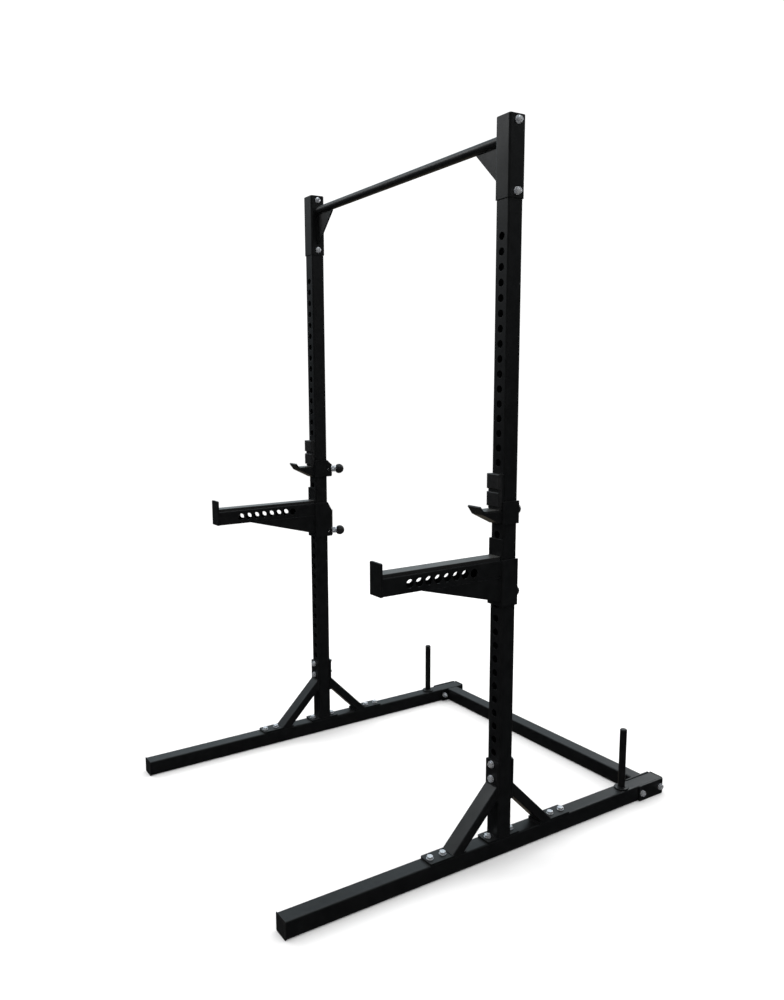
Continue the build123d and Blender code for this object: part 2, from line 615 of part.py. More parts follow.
# ---- build -------------------------------------------------------------------------------------
def main():
    os.makedirs("parts", exist_ok=True)
    for side, sign in SIDES.items():
        x = sign * POST_X
        save("base_leg_" + side, Pos(x, 0, 0) * leg())
        save("upright_" + side, Pos(x, 0, 0) * post())
        save("bar_sleeve_" + side, Pos(x, 0, 0) * sleeve())
        save("band_peg_" + side, Pos(x, 0, 0) * band_peg())
        pieces = [Pos(x, 0, 0) * piece for piece in (rear_brace(), rear_head_plate(), rear_foot_plate())]
        save("brace_rear_" + side, *pieces)
        save("brace_front_" + side, *[mirror(piece, about=Plane.XZ) for piece in pieces])
    save("base_plates", *[Pos(sign * POST_X, 0, 0) * base_plate() for sign in SIDES.values()])
    save("leg_end_caps", *leg_caps())
    save("top_caps", *top_caps())
    save("pull_up_bar", pull_up_bar())
    save("bar_gussets", *bar_gussets())
    save("rear_crossmember", crossmember())
    save("crossmember_plates", *cross_plates())
    for name, solids in fastener_groups().items():
        save(name, *solids)

    jcup_saddle = saddle(JCUP_BOTTOM, JCUP_SIDE_TOP, JCUP_TOP, JCUP_LIP_TOP)
    arm_saddle = saddle(ARM_BOTTOM, ARM_SIDE_TOP, ARM_TOP, ARM_LIP_TOP)
    pin_parts = {"pin_barrel": pin_barrel(), "pin_plunger": pin_plunger(),
                 "pin_knob": pin_knob(), "pin_spring": pin_spring()}
    for side in SIDES:
        cup = JCUP_PIN_Z[side]
        arm = ARM_PIN_Z[side]
        save("jcup_saddle_" + side, at_post(jcup_saddle, side, cup))
        save("jcup_tongue_" + side, at_post(jcup_tongue(), side, cup))
        save("jcup_blocks_" + side, at_post(jcup_liner(), side, cup))
        save("jcup_pad_" + side, at_post(jcup_pad(), side, cup))
        save("arm_saddle_" + side, at_post(arm_saddle, side, arm))
        save("arm_beam_" + side, at_post(arm_beam(), side, arm))
        save("arm_lip_" + side, at_post(arm_lip(), side, arm))
        save("arm_gussets_" + side, *[at_post(plate, side, arm) for plate in arm_gussets()])
        save("arm_liner_" + side, at_post(arm_liner(), side, arm))
        for part_name, part in pin_parts.items():
            save("jcup_" + part_name + "_" + side, at_post(part, side, cup))
            save("arm_" + part_name + "_" + side, at_post(part, side, arm))


main()
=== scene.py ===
"""Looks of the squat rack: materials, detailed fasteners, caps, knobs, pull pins and welds.

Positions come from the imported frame, in metres. Lengths given here in millimetres are
multiplied by MM. The distances t run along a pull pin from the post's rear face.
"""

import json
import math

import bmesh
import bpy
from mathutils import Matrix, Vector

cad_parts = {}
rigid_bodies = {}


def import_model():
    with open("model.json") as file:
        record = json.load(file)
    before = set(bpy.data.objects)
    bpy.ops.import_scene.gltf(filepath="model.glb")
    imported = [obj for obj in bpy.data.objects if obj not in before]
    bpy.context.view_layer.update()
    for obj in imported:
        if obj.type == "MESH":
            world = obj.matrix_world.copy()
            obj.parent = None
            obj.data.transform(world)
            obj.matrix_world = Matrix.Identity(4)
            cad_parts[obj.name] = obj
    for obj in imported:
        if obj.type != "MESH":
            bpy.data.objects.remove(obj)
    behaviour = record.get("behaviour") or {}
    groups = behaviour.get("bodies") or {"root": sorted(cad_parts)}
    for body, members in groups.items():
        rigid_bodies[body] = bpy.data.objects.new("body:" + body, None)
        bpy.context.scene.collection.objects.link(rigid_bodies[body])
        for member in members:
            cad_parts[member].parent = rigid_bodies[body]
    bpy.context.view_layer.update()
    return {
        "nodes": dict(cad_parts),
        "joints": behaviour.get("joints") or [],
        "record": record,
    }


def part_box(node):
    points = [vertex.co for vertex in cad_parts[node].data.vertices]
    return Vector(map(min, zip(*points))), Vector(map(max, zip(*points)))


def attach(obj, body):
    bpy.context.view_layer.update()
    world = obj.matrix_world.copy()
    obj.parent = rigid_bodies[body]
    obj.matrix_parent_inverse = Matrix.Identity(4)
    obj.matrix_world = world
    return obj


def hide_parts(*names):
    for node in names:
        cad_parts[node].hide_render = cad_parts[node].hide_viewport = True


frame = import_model()

MM = 0.001
SIDES = {"left": -1, "right": 1}
X_AXIS, Y_AXIS, Z_AXIS = Vector((1, 0, 0)), Vector((0, 1, 0)), Vector((0, 0, 1))

# Fasteners, in millimetres, as in the CAD source.
BOLT_R = 5.0
THREAD_PITCH = 1.5
THREAD_DEPTH = 0.55
THREAD_LENGTH = 26.0
HEX_AF = 17.0
HEAD_T = 6.4
BUTTON_R = 9.5
BUTTON_T = 5.5
SOCKET_AF = 6.0
RIM_SHARE = 0.94              # flat face of a nut or head, as a share of its width across flats

# Pull pins, in millimetres.
KNOB_START, KNOB_END = 48.0, 77.0
KNOB_WIDEST = 59.0            # where the ball of the knob has its full radius
KNOB_R = 18.0
KNOB_BORE_R = 12.2
KNOB_BORE_END = 67.0
KNOB_FLUTES = 16
FLUTE_DEPTH = 0.8
FLUTE_REACH = 0.85            # angle from the widest circle, in radians, where the flutes run out
BARREL_R = 11.5
BARREL_START, BARREL_END = 30.0, 50.0
BARREL_RIDGES = 60
RIDGE_DEPTH = 0.45
NECK_START, NECK_R = 12.0, 9.0
CHAMBER_START, CHAMBER_END, CHAMBER_R = 18.0, 46.0, 7.0
NOSE_BORE_R, ROD_BORE_R = 5.05, 3.05
JAM_NUT = (18.0, 24.0, 24.0)  # start, end, across flats

# Welds and frame, in millimetres.
WELD_R = 2.6
WELD_RIPPLE = 2.4
PEG_R = 11.0
BRACE_SUM = 249.0             # y + z along the upper edge of a brace
BRACE_CUT = 30.0 * math.sqrt(2)
HEAD_PLATE_Y = 31.0           # outer face of a brace's head plate, from the middle of the post
FOOT_PLATE_Z = 58.0           # top of a brace's foot plate
SEAM_INSET = 0.003            # gap between a seam's end and the corner, in metres
GUSSET_SEAM_X = (0.392, 0.483)  # ends of a gusset's seam along the bar, in metres

SHARP_CAD_ANGLE = 24.0
ROOM_TINT = (0.80, 0.93, 1.0)
WOOD_TINT = (1.0, 0.86, 0.66)


# ---- camera, floor and light -------------------------------------------------------
def make_camera():
    """Camera at the object's front right, slightly above the middle, with a small roll."""
    azimuth, elevation, roll = (math.radians(v) for v in (59.231, 8.477, -0.7746))
    back = Vector((math.sin(azimuth) * math.cos(elevation),
                   -math.cos(azimuth) * math.cos(elevation), math.sin(elevation)))
    right = Vector((math.cos(azimuth), math.sin(azimuth), 0))
    up = back.cross(right)
    x_axis = math.cos(roll) * right + math.sin(roll) * up
    y_axis = math.cos(roll) * up - math.sin(roll) * right
    data = bpy.data.cameras.new("camera")
    data.sensor_width = 36.0
    data.lens = 29.536
    data.shift_x = 0.0583
    data.shift_y = 0.0088
    data.clip_end = 60.0
    camera = bpy.data.objects.new("camera", data)
    rotation = Matrix((x_axis, y_axis, back)).transposed()
    camera.matrix_world = Matrix.Translation((2.2165, -1.5535, 1.3683)) @ rotation.to_4x4()
    bpy.context.scene.collection.objects.link(camera)
    bpy.context.scene.camera = camera


def area_light(name, place, target, size, power):
    """Soft box at a place, aimed at a target."""
    data = bpy.data.lights.new(name, "AREA")
    data.shape = "RECTANGLE"
    data.size, data.size_y = size
    data.energy = power
    light = bpy.data.objects.new(name, data)
    light.location = place
    aim = Vector(target) - Vector(place)
    light.rotation_euler = aim.to_track_quat("-Z", "Y").to_euler()
    light.visible_camera = False
    bpy.context.scene.collection.objects.link(light)


def make_world():
    """White surroundings that light the floor, and a dim room with a few bright patches for the gloss."""
    world = bpy.data.worlds.new("studio")
    bpy.context.scene.world = world
    world.use_nodes = True
    tree = world.node_tree
    tree.nodes.clear()
    node = tree.nodes.new
    link = tree.links.new
    direction = node("ShaderNodeTexCoord").outputs["Generated"]

    def patch(centre, edge, core, strength):
        """Brightness that grows from 0 to strength as the cosine to a direction goes from edge to core."""
        toward = node("ShaderNodeVectorMath")
        toward.operation = "DOT_PRODUCT"
        link(direction, toward.inputs[0])
        toward.inputs[1].default_value = Vector(centre).normalized()
        ramp = node("ShaderNodeMapRange")
        link(toward.outputs["Value"], ramp.inputs["Value"])
        for name, number in (("From Min", edge), ("From Max", core), ("To Min", 0.0), ("To Max", strength)):
            ramp.inputs[name].default_value = number
        return ramp.outputs[0]

    def background(colour, strength):
        """Light of one colour, with a fixed or a linked strength."""
        made = node("ShaderNodeBackground")
        made.inputs["Color"].default_value = (*colour, 1)
        if isinstance(strength, float):
            made.inputs["Strength"].default_value = strength
        else:
            link(strength, made.inputs["Strength"])
        return made.outputs[0]

    def both(first, second):
        """Two lights added up."""
        made = node("ShaderNodeAddShader")
        link(first, made.inputs[0])
        link(second, made.inputs[1])
        return made.outputs[0]

    room = background(ROOM_TINT, 0.015)
    room = both(room, background(ROOM_TINT, patch((0, 0, 1), 0.0, 0.8, 0.10)))
    room = both(room, background(ROOM_TINT, patch((0, 0, 1), 0.72, 0.98, 0.80)))
    room = both(room, background(ROOM_TINT, patch((-0.70, 0.15, 0.70), 0.58, 0.95, 0.95)))
    room = both(room, background(WOOD_TINT, patch((-0.70, 0.47, -0.53), 0.80, 0.98, 0.22)))
    mix = node("ShaderNodeMixShader")
    link(node("ShaderNodeLightPath").outputs["Is Glossy Ray"], mix.inputs[0])
    link(background((1.0, 1.0, 1.0), 1.1), mix.inputs[1])
    link(room, mix.inputs[2])
    link(mix.outputs[0], node("ShaderNodeOutputWorld").inputs["Surface"])


def make_floor():
    """Plain white floor with a faint mottle, left out of reflections so that the coating stays dark."""
    bm = bmesh.new()
    bmesh.ops.create_grid(bm, x_segments=1, y_segments=1, size=40.0)
    mesh = bpy.data.meshes.new("floor")
    bm.to_mesh(mesh)
    bm.free()
    floor = bpy.data.objects.new("floor", mesh)
    bpy.context.scene.collection.objects.link(floor)
    surface = Surface("floor_white", (0.93, 0.93, 0.93), roughness=0.9, specular=0.0)
    surface.colour_noise(3.0, (0.92, 0.92, 0.92), (0.94, 0.94, 0.94))
    mesh.materials.append(surface.material)
    floor.visible_glossy = False


# ---- materials ------------------------------------------------------------------------
class Surface:
    """A node material that is built up from layers of noise, wear and relief."""

    def __init__(self, name, colour, roughness, metallic=0.0, specular=0.5):
        self.material = bpy.data.materials.new(name)
        self.material.use_nodes = True
        self.tree = self.material.node_tree
        self.shader = self.tree.nodes["Principled BSDF"]
        self.shader.inputs["Base Color"].default_value = (*colour, 1)
        self.shader.inputs["Roughness"].default_value = roughness
        self.shader.inputs["Metallic"].default_value = metallic
        self.shader.inputs["Specular IOR Level"].default_value = specular
        self.place = self.node("ShaderNodeTexCoord").outputs["Object"]
        self.colour = None
        self.normal = None

    def node(self, kind, **inputs):
        made = self.tree.nodes.new(kind)
        for name, value in inputs.items():
            self.put(made.inputs[name.replace("_", " ")], value)
        return made

    def put(self, socket, value):
        if isinstance(value, bpy.types.NodeSocket):
            self.tree.links.new(value, socket)
        else:
            socket.default_value = value

    def stretched(self, scale):
        """Object coordinates scaled along each axis."""
        return self.node("ShaderNodeMapping", Vector=self.place, Scale=scale).outputs[0]

    def noise(self, scale, detail=4.0, stretch=None, roughness=0.55):
        vector = self.stretched(stretch) if stretch else self.place
        made = self.node("ShaderNodeTexNoise", Vector=vector, Scale=scale, Detail=detail,
                         Roughness=roughness)
        return made.outputs["Fac"]

    def ramp(self, value, low, high, start=0.0, end=1.0):
        """Value mapped from low..high to start..end, and clamped."""
        made = self.node("ShaderNodeMapRange")
        for name, number in (("From Min", low), ("From Max", high), ("To Min", start), ("To Max", end)):
            made.inputs[name].default_value = number
        self.put(made.inputs["Value"], value)
        return made.outputs[0]

    def math(self, operation, a, b):
        made = self.tree.nodes.new("ShaderNodeMath")
        made.operation = operation
        self.put(made.inputs[0], a)
        self.put(made.inputs[1], b)
        return made.outputs[0]

    def blend_colour(self, factor, colour):
        """Paint a colour over the present one."""
        made = self.tree.nodes.new("ShaderNodeMix")
        made.data_type = "RGBA"
        before = self.colour or tuple(self.shader.inputs["Base Color"].default_value)
        self.put(made.inputs["Factor"], factor)
        self.put(made.inputs["A"], before)
        self.put(made.inputs["B"], (*colour, 1))
        self.colour = made.outputs["Result"]
        self.put(self.shader.inputs["Base Color"], self.colour)

    def colour_noise(self, scale, low, high):
        self.shader.inputs["Base Color"].default_value = (*low, 1)
        self.blend_colour(self.ramp(self.noise(scale), 0.35, 0.65), high)

    def relief(self, height, distance, strength=1.0):
        """Add a bump layer, with its height in metres at full value."""
        made = self.node("ShaderNodeBump", Height=height, Distance=distance, Strength=strength)
        if self.normal:
            self.put(made.inputs["Normal"], self.normal)
        self.normal = made.outputs[0]
        self.put(self.shader.inputs["Normal"], self.normal)

    def soft_edges(self, radius):
        """Round every sharp edge in the shading, and return a mask of those edges."""
        bevel = self.tree.nodes.new("ShaderNodeBevel")
        bevel.samples = 6
        bevel.inputs["Radius"].default_value = radius
        self.normal = bevel.outputs[0]
        flat = self.node("ShaderNodeNewGeometry").outputs["Normal"]
        dot = self.tree.nodes.new("ShaderNodeVectorMath")
        dot.operation = "DOT_PRODUCT"
        self.put(dot.inputs[0], bevel.outputs[0])
        self.put(dot.inputs[1], flat)
        self.put(self.shader.inputs["Normal"], self.normal)
        return self.ramp(dot.outputs["Value"], 0.995, 0.90)

    def facing_up(self):
        """1 on surfaces that face up; the mask for dust and for painted sheen on top faces."""
        split = self.node("ShaderNodeSeparateXYZ")
        self.put(split.inputs[0], self.node("ShaderNodeNewGeometry").outputs["Normal"])
        return self.ramp(split.outputs["Z"], 0.7, 0.98)

    def roughness(self, value):
        self.put(self.shader.inputs["Roughness"], value)


def powder_coat():
    """Satin black powder coat: orange peel, faint mottle, dust and a painted sheen on top faces, rubbed
    edges.
    """
    s = Surface("black_powder_coat", (0.0014, 0.0016, 0.0019), roughness=0.38, specular=0.36)
    edge = s.soft_edges(0.9 * MM)
    mottle = s.noise(38.0, detail=5.0)
    s.blend_colour(s.ramp(mottle, 0.35, 0.70), (0.0031, 0.0034, 0.0038))
    # Dust and painted sheen: top faces are painted lighter to stand in for the light falling on them, broken
    # up by dust-like noise.
    dust_and_sheen = s.math("MULTIPLY", s.facing_up(), s.ramp(s.noise(55.0, detail=8.0, roughness=0.7), 0.42, 0.75))
    s.blend_colour(s.math("MULTIPLY", dust_and_sheen, 0.13), (0.050, 0.049, 0.047))
    wear = s.math("MULTIPLY", edge, s.ramp(s.noise(160.0, detail=6.0), 0.40, 0.72))
    s.blend_colour(s.math("MULTIPLY", wear, 0.40), (0.030, 0.032, 0.036))
    handled = s.ramp(s.noise(9.0, detail=3.0), 0.35, 0.7, 0.36, 0.47)
    s.roughness(s.math("ADD", handled, s.ramp(s.noise(420.0), 0.3, 0.7, -0.03, 0.04)))
    s.relief(s.noise(620.0, detail=2.0), 0.10 * MM, 0.35)
    s.relief(s.noise(2600.0, detail=1.0), 0.02 * MM, 0.30)
    scratch = s.ramp(s.noise(70.0, detail=9.0, stretch=(1.0, 1.0, 26.0), roughness=0.75), 0.64, 0.72)
    s.relief(scratch, -0.012 * MM, 0.5)
    return s.material


def zinc():
    """Bright zinc plating: faint blue and straw tints, fine tool marks, duller in patches."""
    s = Surface("zinc", (0.66, 0.67, 0.69), roughness=0.26, metallic=0.78)
    s.soft_edges(0.35 * MM)
    s.blend_colour(s.ramp(s.noise(120.0), 0.42, 0.68), (0.60, 0.63, 0.70))
    straw = s.ramp(s.noise(210.0, detail=6.0), 0.52, 0.70)
    s.blend_colour(s.math("MULTIPLY", straw, 0.55), (0.63, 0.58, 0.46))
    s.roughness(s.ramp(s.noise(300.0, detail=6.0), 0.3, 0.7, 0.20, 0.38))
    s.relief(s.noise(1500.0, detail=3.0), 0.015 * MM, 0.4)
    return s.material


def black_plastic():
    """Moulded black plastic with a fine spark-eroded grain and a few pale scuffs."""
    s = Surface("black_plastic", (0.0045, 0.0045, 0.0050), roughness=0.48, specular=0.42)
    s.soft_edges(0.6 * MM)
    s.blend_colour(s.ramp(s.noise(70.0), 0.4, 0.7), (0.0080, 0.0080, 0.0085))
    scuff = s.ramp(s.noise(150.0, detail=9.0, stretch=(1.0, 6.0, 1.0), roughness=0.8), 0.66, 0.74)
    s.blend_colour(s.math("MULTIPLY", scuff, 0.35), (0.06, 0.06, 0.06))
    s.roughness(s.ramp(s.noise(240.0), 0.3, 0.7, 0.42, 0.56))
    s.relief(s.noise(3200.0, detail=2.0), 0.03 * MM, 0.5)
    return s.material


def grey_liner():
    """Black polyethylene with a painted grey sheen on top, drag marks from the bar along it and scuffs across
    it.
    """
    s = Surface("grey_liner", (0.0060, 0.0060, 0.0062), roughness=0.38, specular=0.5)
    s.soft_edges(0.8 * MM)
    top = s.facing_up()
    # Painted sheen: the whole top face is painted grey over the black, standing in for light reflected off
    # it.
    s.blend_colour(s.math("MULTIPLY", top, s.ramp(s.noise(30.0, detail=6.0), 0.35, 0.7, 0.55, 1.0)),
                   (0.070, 0.070, 0.067))
    drag = s.ramp(s.noise(60.0, detail=8.0, stretch=(9.0, 0.6, 1.0), roughness=0.7), 0.52, 0.70)
    s.blend_colour(s.math("MULTIPLY", s.math("MULTIPLY", top, drag), 0.45), (0.15, 0.15, 0.145))
    scuff = s.ramp(s.noise(45.0, detail=9.0, stretch=(0.7, 7.0, 1.0), roughness=0.8), 0.62, 0.70)
    s.blend_colour(s.math("MULTIPLY", scuff, 0.5), (0.018, 0.018, 0.018))
    s.roughness(s.ramp(drag, 0.0, 1.0, 0.34, 0.52))
    s.relief(drag, 0.06 * MM, 0.5)
    s.relief(s.noise(1300.0, detail=3.0), 0.03 * MM, 0.4)
    return s.material


def spring_steel():
    """Drawn wire with lengthwise drawing marks."""
    s = Surface("spring_steel", (0.42, 0.42, 0.43), roughness=0.32, metallic=0.7)
    s.blend_colour(s.ramp(s.noise(500.0), 0.4, 0.7), (0.30, 0.30, 0.32))
    s.roughness(s.ramp(s.noise(900.0, detail=6.0), 0.3, 0.7, 0.25, 0.42))
    return s.material


def nylon():
    """Milky nylon insert of a lock nut."""
    s = Surface("nylon", (0.55, 0.56, 0.55), roughness=0.4)
    s.blend_colour(s.ramp(s.noise(400.0), 0.4, 0.7), (0.42, 0.44, 0.44))
    s.relief(s.noise(1800.0), 0.02 * MM, 0.4)
    return s.material


# ---- mesh helpers -----------------------------------------------------------------------
def piece(name, bm, material, body, stands_for=(), sharp=32.0):
    """Turn a bmesh into a piece that rides on a body."""
    bmesh.ops.remove_doubles(bm, verts=bm.verts, dist=1e-6)
    bmesh.ops.recalc_face_normals(bm, faces=bm.faces)
    mesh = bpy.data.meshes.new(name)
    bm.to_mesh(mesh)
    bm.free()
    mesh.materials.append(material)
    mesh.shade_smooth()
    mesh.set_sharp_from_angle(angle=math.radians(sharp))
    made = bpy.data.objects.new(name, mesh)
    bpy.context.scene.collection.objects.link(made)
    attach(made, body)
    if stands_for:
        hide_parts(*stands_for)


def loft(bm, rings, closed=False):
    """Quads between rings of points. The ends are capped, or joined when closed."""
    made = [[bm.verts.new(point) for point in ring] for ring in rings]
    pairs = list(zip(made, made[1:]))
    if closed:
        pairs.append((made[-1], made[0]))
    count = len(made[0])
    for first, second in pairs:
        for i in range(count):
            j = (i + 1) % count
            bm.faces.new((first[i], first[j], second[j], second[i]))
    if not closed:
        bm.faces.new(made[0])
        bm.faces.new(made[-1])


def across(axis):
    """Two directions at right angles to an axis."""
    helper = X_AXIS if abs(axis.dot(Z_AXIS)) > 0.9 else Z_AXIS
    first = (helper - axis * helper.dot(axis)).normalized()
    return first, axis.cross(first)


def turned(bm, origin, axis, profile, segments=48, closed=False):
    """Revolve (radius, t) pairs in millimetres; a radius may be a function of the angle and t."""
    first, second = across(axis)
    rings = []
    for radius, t in profile:
        ring = []
        for i in range(segments):
            angle = 2 * math.pi * i / segments
            r = radius(angle, t) if callable(radius) else radius
            spoke = first * math.cos(angle) + second * math.sin(angle)
            ring.append(origin + (spoke * max(r, 0.01) + axis * t) * MM)
        rings.append(ring)
    loft(bm, rings, closed)


def hexagonal(across_flats, limit):
    """Radius of a hexagon, cut off at a limiting circle."""
    def radius(angle, _):
        folded = (angle + math.pi / 6) % (math.pi / 3) - math.pi / 6
        return min(across_flats / 2 / math.cos(folded), limit)
    return radius


def threaded(outer):
    """Radius of a single-start thread."""
    def radius(angle, t):
        phase = (t / THREAD_PITCH - angle / (2 * math.pi)) % 1.0
        return outer - THREAD_DEPTH * abs(2 * phase - 1)
    return radius


def thread_steps(start, end):
    """Layers that are a quarter of a pitch apart."""
    count = int((end - start) / (THREAD_PITCH / 4))
    return [start + (end - start) * i / count for i in range(count + 1)]


def solids_of(node):
    """Vertices of each separate solid of a CAD node."""
    bm = bmesh.new()
    bm.from_mesh(frame["nodes"][node].data)
    bmesh.ops.remove_doubles(bm, verts=bm.verts, dist=1e-6)
    todo = set(bm.verts)
    groups = []
    while todo:
        front = [todo.pop()]
        group = []
        while front:
            vert = front.pop()
            group.append(vert.co.copy())
            for edge in vert.link_edges:
                other = edge.other_vert(vert)
                if other in todo:
                    todo.remove(other)
                    front.append(other)
        groups.append(group)
    bm.free()
    return sorted(groups, key=lambda g: tuple(round(v, 4) for v in middle(g)))


def extent(points):
    low = Vector([min(p[i] for p in points) for i in range(3)])
    high = Vector([max(p[i] for p in points) for i in range(3)])
    return low, high


def middle(points):
    low, high = extent(points)
    return (low + high) / 2


# ---- fasteners -----------------------------------------------------------------------------
def bolt_places(node):
    """Seat, shank direction and shank length of every bolt in a group."""
    places = []
    for points in solids_of(node):
        low, high = extent(points)
        size = high - low
        which = max(range(3), key=lambda i: size[i])
        axis = Vector([1.0 if i == which else 0.0 for i in range(3)])
        centre = (low + high) / 2
        wide = []
        for p in points:
            offset = p - centre
            if (offset - axis * offset.dot(axis)).length > 1.2 * BOLT_R * MM:
                wide.append(p)
        head = sum(p.dot(axis) for p in wide) / len(wide)
        if head > centre.dot(axis):
            axis = -axis
        ends = [p.dot(axis) for p in points]
        seat = max(p.dot(axis) for p in wide)
        origin = centre + axis * (seat - centre.dot(axis))
        places.append((origin, axis, (max(ends) - seat) / MM))
    return places


def hex_head(bm, seat, axis):
    """Chamfered head with a washer face and a shallow dish on top."""
    corner = HEX_AF / math.sqrt(3)
    rim = HEX_AF / 2 * RIM_SHARE
    profile = [(0, 0), (rim, 0), (rim, -0.5), (hexagonal(HEX_AF, corner), -0.5)]
    profile += [(hexagonal(HEX_AF, corner), -HEAD_T + 1.5), (hexagonal(HEX_AF, corner - 0.5), -HEAD_T + 0.9),
                (hexagonal(HEX_AF, corner - 1.1), -HEAD_T + 0.4), (hexagonal(HEX_AF, rim), -HEAD_T)]
    profile += [(rim * 0.72, -HEAD_T), (rim * 0.66, -HEAD_T + 0.35), (0, -HEAD_T + 0.35)]
    turned(bm, seat, axis, profile)


def button_head(bm, seat, axis):
    """Domed head with a hexagon socket."""
    profile = [(0, 0), (BUTTON_R - 0.4, 0), (BUTTON_R, 0.4 - BUTTON_T * 0.14)]
    for step in range(1, 9):
        angle = math.pi / 2 * step / 9
        profile.append((BUTTON_R * math.cos(angle) ** 0.75, -BUTTON_T * math.sin(angle)))
    socket = hexagonal(SOCKET_AF, SOCKET_AF)
    profile += [(SOCKET_AF / 2 + 0.9, -BUTTON_T), (socket, -BUTTON_T + 0.3), (socket, -BUTTON_T + 3.0),
                (0, -BUTTON_T + 3.6)]
    turned(bm, seat, axis, profile)


def shank(bm, seat, axis, length):
    """Plain shank with a threaded end."""
    thread = min(length - 1, THREAD_LENGTH)
    profile = [(0, -0.2), (BOLT_R, -0.2), (BOLT_R, length - thread)]
    profile += [(threaded(BOLT_R), t) for t in thread_steps(length - thread, length - 1.0)]
    profile += [(BOLT_R - 0.9, length), (0, length)]
    turned(bm, seat, axis, profile, segments=36)


def make_bolts(node, head):
    bm = bmesh.new()
    for seat, axis, length in bolt_places(node):
        head(bm, seat, axis)
        shank(bm, seat, axis, length)
    piece(node + "_detail", bm, MATERIALS["zinc"], "root", [node])


def nut_places(node):
    """Inner face and direction of every nut; the direction points away from its washer."""
    washers = [middle(points) for points in solids_of("washers")]
    places = []
    for points in solids_of(node):
        centre = middle(points)
        near = min(washers, key=lambda w: (w - centre).length)
        axis = (centre - near).normalized()
        low, high = extent(points)
        half = abs((high - low).dot(axis)) / 2
        places.append((centre - axis * half, axis))
    return places


def make_lock_nuts():
    """Chamfered nuts with a rolled collar that holds a nylon ring."""
    bm, ring = bmesh.new(), bmesh.new()
    corner = HEX_AF / math.sqrt(3)
    rim = HEX_AF / 2 * RIM_SHARE
    bore = BOLT_R + 0.06
    profile = [(bore, 0), (rim, 0), (hexagonal(HEX_AF, corner - 0.6), 0.5), (hexagonal(HEX_AF, corner), 1.1),
               (hexagonal(HEX_AF, corner), 6.0), (hexagonal(HEX_AF, corner - 0.6), 6.6), (rim, 7.1),
               (rim - 0.4, 7.4), (rim - 0.5, 9.0), (rim - 0.9, 9.7), (rim - 1.6, 10.0), (rim - 2.1, 9.8),
               (rim - 2.2, 7.2), (bore, 7.2)]
    nylon_ring = [(bore - 0.03, 7.2), (rim - 2.25, 7.2), (rim - 2.25, 9.3), (rim - 2.7, 9.5),
                  (bore - 0.03, 9.5)]
    for face, axis in nut_places("lock_nuts"):
        turned(bm, face, axis, profile, closed=True)
        turned(ring, face, axis, nylon_ring, closed=True)
    piece("lock_nuts_detail", bm, MATERIALS["zinc"], "root", ["lock_nuts"])
    piece("lock_nut_inserts", ring, MATERIALS["nylon"], "root")


def make_washers():
    """Stamped washers with one rolled edge."""
    bm = bmesh.new()
    for points in solids_of("washers"):
        low, high = extent(points)
        size = high - low
        which = min(range(3), key=lambda i: size[i])
        axis = Vector([1.0 if i == which else 0.0 for i in range(3)])
        centre = (low + high) / 2
        profile = [(5.5, -1.0), (10.2, -1.0), (10.5, -0.7), (10.5, 0.5), (10.1, 0.9), (9.6, 1.0),
                   (5.7, 1.0), (5.5, 0.8)]
        turned(bm, centre, axis, profile, closed=True)
    piece("washers_detail", bm, MATERIALS["zinc"], "root", ["washers"])


# ---- caps ---------------------------------------------------------------------------------------
def rounded_square(half, radius, count=10):
    """Points of a rounded square, as (u, v) pairs in millimetres."""
    points = []
    for k, (su, sv) in enumerate(((1, 1), (-1, 1), (-1, -1), (1, -1))):
        for i in range(count + 1):
            angle = math.pi / 2 * (k + i / count)
            points.append((su * (half - radius) + radius * math.cos(angle),
                           sv * (half - radius) + radius * math.sin(angle)))
    return points


def make_cap(bm, centre, axis, half, layers):
    """Loft rounded squares: each layer is (inset, corner radius, height), in millimetres."""
    first, second = across(axis)
    rings = []
    for inset, radius, height in layers:
        ring = [centre + (first * u + second * v + axis * height) * MM
                for u, v in rounded_square(half - inset, radius)]
        rings.append(ring)
    loft(bm, rings)


def make_caps():
    """End caps of the legs and posts: crowned flange, moulded panel and hollow plug."""
    legs, tops = bmesh.new(), bmesh.new()
    leg_layers = [(4.7, 2.3, -8.5), (4.7, 2.3, 0.0), (0.1, 6.0, 0.0), (0.0, 6.0, 0.5), (0.25, 5.9, 1.1),
                  (0.9, 5.5, 1.7), (1.9, 5.0, 1.98), (6.5, 4.0, 1.98), (7.4, 3.6, 1.4), (8.4, 3.2, 1.25),
                  (18.0, 2.0, 1.25)]
    for points in solids_of("leg_end_caps"):
        low, high = extent(points)
        outward = Y_AXIS * (1 if low.y > 0 else -1)
        face = Vector(((low.x + high.x) / 2, high.y if outward.y > 0 else low.y, (low.z + high.z) / 2))
        make_cap(legs, face - outward * 2.0 * MM, outward, (high.x - low.x) / 2 / MM, leg_layers)
    piece("leg_end_caps_detail", legs, MATERIALS["black_plastic"], "root", ["leg_end_caps"])
    top_layers = [(4.5, 2.5, -7.0), (4.5, 2.5, 0.0), (0.1, 5.5, 0.0), (0.0, 5.5, 0.5), (0.5, 5.3, 1.3),
                  (1.5, 5.0, 1.9), (3.2, 4.5, 2.25), (8.0, 4.0, 2.40), (16.0, 3.0, 2.5)]
    for points in solids_of("top_caps"):
        low, high = extent(points)
        seat = Vector(((low.x + high.x) / 2, (low.y + high.y) / 2, high.z - 2.5 * MM))
        make_cap(tops, seat, Z_AXIS, (high.x - low.x) / 2 / MM, top_layers)
    piece("top_caps_detail", tops, MATERIALS["black_plastic"], "root", ["top_caps"])


# ---- pull pins -------------------------------------------------------------------------------------
def knurled(radius, ridges, depth):
    """Radius of a circle with grooves cut into it."""
    def ridge(angle, _):
        return radius - depth * (0.5 - 0.5 * math.cos(ridges * angle)) ** 2
    return ridge


